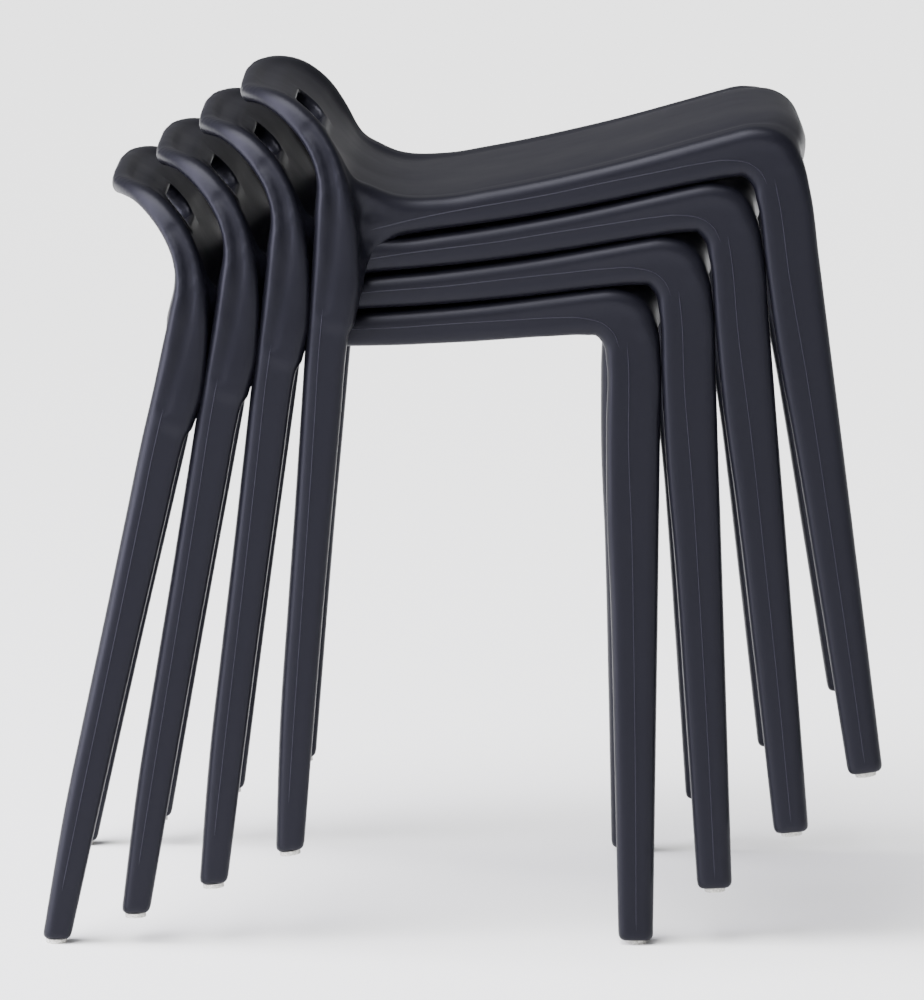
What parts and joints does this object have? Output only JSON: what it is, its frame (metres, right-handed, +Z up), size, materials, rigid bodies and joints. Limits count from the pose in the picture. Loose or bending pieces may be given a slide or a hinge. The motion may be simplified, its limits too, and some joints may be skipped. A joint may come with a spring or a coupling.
{
  "type": "stacking chair",
  "caption": "Nested stack of low-backed moulded plastic chairs, each with a saddle seat, a handle slot in the back and round push-in glides under four tapered legs.",
  "frame": {"origin": "on the floor, under the middle of the stack's bounding box", "axes": "+X towards the front of the chairs, +Y to a sitter's left, +Z up"},
  "size_m": [0.5992, 0.3602, 0.6096],
  "materials": {
    "shell": "through-coloured black polypropylene with a faint blue-violet cast, satin sheen and a very fine moulded grain",
    "glide": "light grey nylon, dull, scuffed on the floor face"
  },
  "bodies": {
    "chair_1": {"chair_1_shell": "shell", "chair_1_glide_back_right": "glide", "chair_1_glide_back_left": "glide", "chair_1_glide_front_right": "glide", "chair_1_glide_front_left": "glide"},
    "chair_2": {"chair_2_shell": "shell", "chair_2_glide_back_right": "glide", "chair_2_glide_back_left": "glide", "chair_2_glide_front_right": "glide", "chair_2_glide_front_left": "glide"},
    "chair_3": {"chair_3_shell": "shell", "chair_3_glide_back_right": "glide", "chair_3_glide_back_left": "glide", "chair_3_glide_front_right": "glide", "chair_3_glide_front_left": "glide"},
    "chair_4": {"chair_4_shell": "shell", "chair_4_glide_back_right": "glide", "chair_4_glide_back_left": "glide", "chair_4_glide_front_right": "glide", "chair_4_glide_front_left": "glide"}
  },
  "joints": [
    {"name": "chair_2_lift", "type": "slide", "parent": "chair_1", "child": "chair_2", "axis": [0.2079, 0, 0.9781], "range_m": [0, 0.56]},
    {"name": "chair_3_lift", "type": "slide", "parent": "chair_2", "child": "chair_3", "axis": [0.1621, 0, 0.9868], "range_m": [0, 0.56]},
    {"name": "chair_4_lift", "type": "slide", "parent": "chair_3", "child": "chair_4", "axis": [0.116, 0, 0.9933], "range_m": [0, 0.56]}
  ]
}
